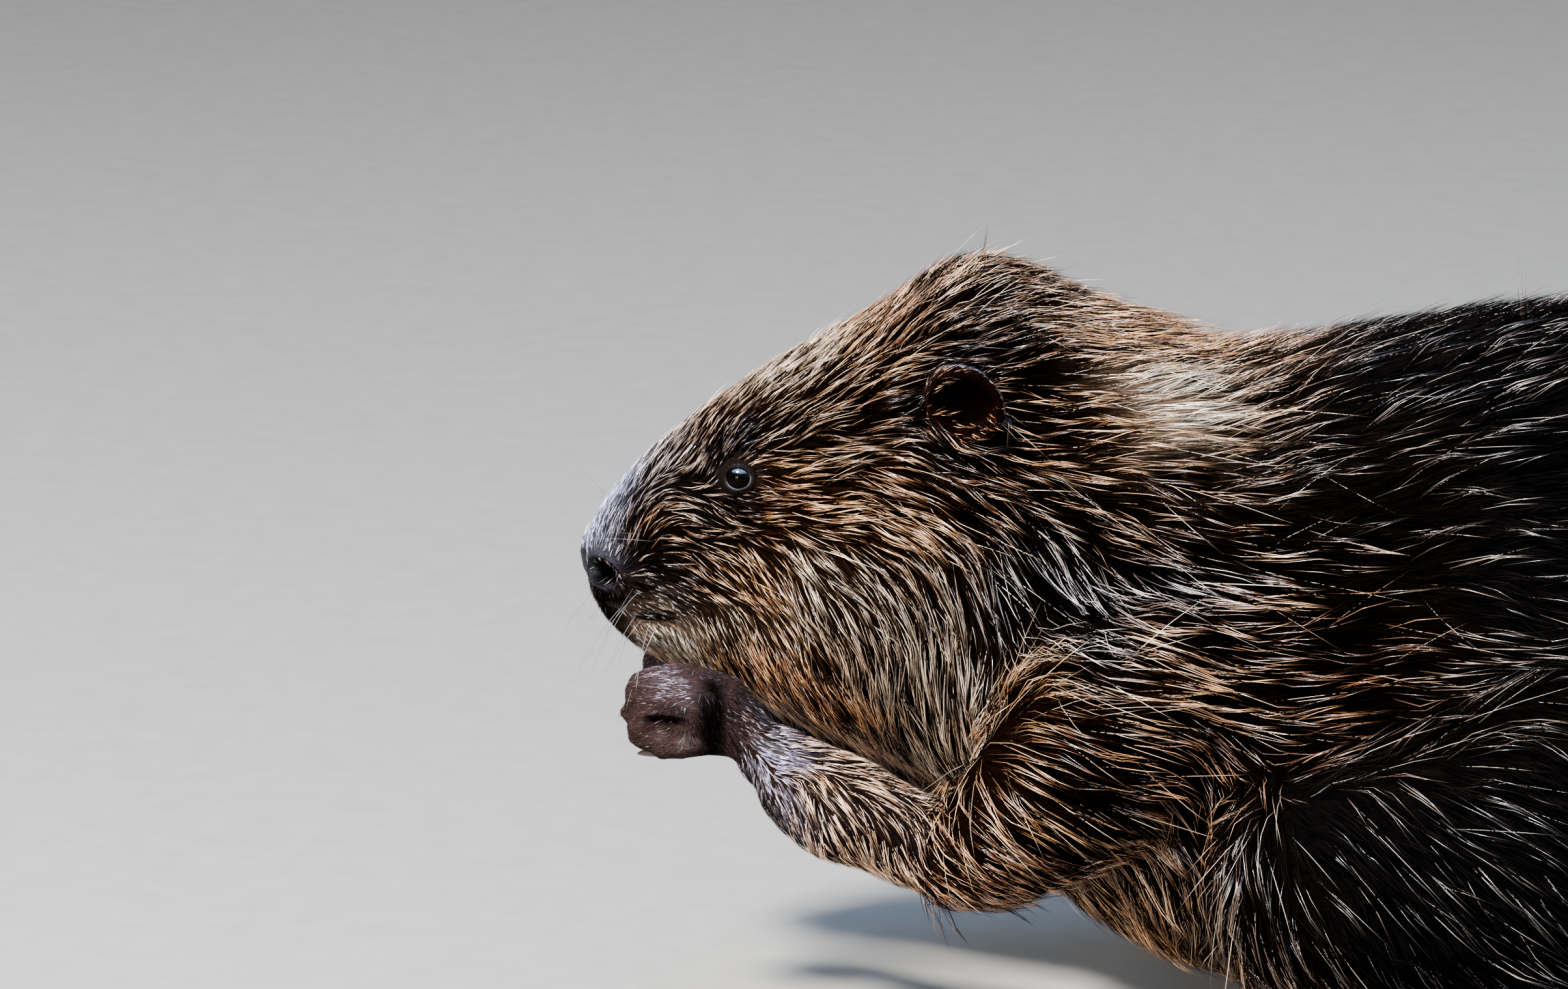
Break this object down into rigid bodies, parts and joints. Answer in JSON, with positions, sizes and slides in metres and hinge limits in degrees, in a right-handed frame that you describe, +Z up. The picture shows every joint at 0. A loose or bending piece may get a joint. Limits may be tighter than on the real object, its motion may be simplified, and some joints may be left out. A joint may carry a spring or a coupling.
{
  "type": "beaver figure",
  "caption": "Life-size beaver crouched low on its hind feet, head raised, both forepaws curled at its mouth, flat scaly tail laid out behind on the floor.",
  "frame": {"origin": "on the floor, under the middle of the length from the nose to the tip of the tail", "axes": "+Z up, the beaver faces -X, its left side is towards -Y"},
  "size_m": [0.932, 0.2768, 0.2698],
  "materials": {
    "face_coat": "matte",
    "brown_coat": "matte",
    "dark_coat": "matte",
    "arm_coat": "satin",
    "paw_skin": "satin",
    "ear_skin": "matte",
    "nose_skin": "satin",
    "tail_scale": "satin",
    "claw_horn": "gloss",
    "eye_gloss": "gloss"
  },
  "bodies": {
    "root": {"chest": "brown_coat", "claw_fourth_toe_left": "claw_horn", "claw_fourth_toe_right": "claw_horn", "claw_index_left": "claw_horn", "claw_index_right": "claw_horn", "claw_inner_toe_left": "claw_horn", "claw_inner_toe_right": "claw_horn", "claw_little_left": "claw_horn", "claw_little_right": "claw_horn", "claw_middle_left": "claw_horn", "claw_middle_right": "claw_horn", "claw_middle_toe_left": "claw_horn", "claw_middle_toe_right": "claw_horn", "claw_outer_toe_left": "claw_horn", "claw_outer_toe_right": "claw_horn", "claw_ring_left": "claw_horn", "claw_ring_right": "claw_horn", "claw_second_toe_left": "claw_horn", "claw_second_toe_right": "claw_horn", "claw_thumb_left": "claw_horn", "claw_thumb_right": "claw_horn", "ear_left": "ear_skin", "ear_right": "ear_skin", "eye_left": "eye_gloss", "eye_right": "eye_gloss", "forearm_left": "arm_coat", "forearm_right": "arm_coat", "forepaw_left": "paw_skin", "forepaw_right": "paw_skin", "head": "face_coat", "hindfoot_left": "paw_skin", "hindfoot_right": "paw_skin", "loin": "dark_coat", "lower_jaw": "face_coat", "neck": "brown_coat", "nose": "nose_skin", "rump": "dark_coat", "shank_left": "dark_coat", "shank_right": "dark_coat", "tail": "tail_scale", "tail_root": "dark_coat", "thigh_left": "dark_coat", "thigh_right": "dark_coat", "upper_arm_left": "brown_coat", "upper_arm_right": "brown_coat"}
  },
  "joints": []
}
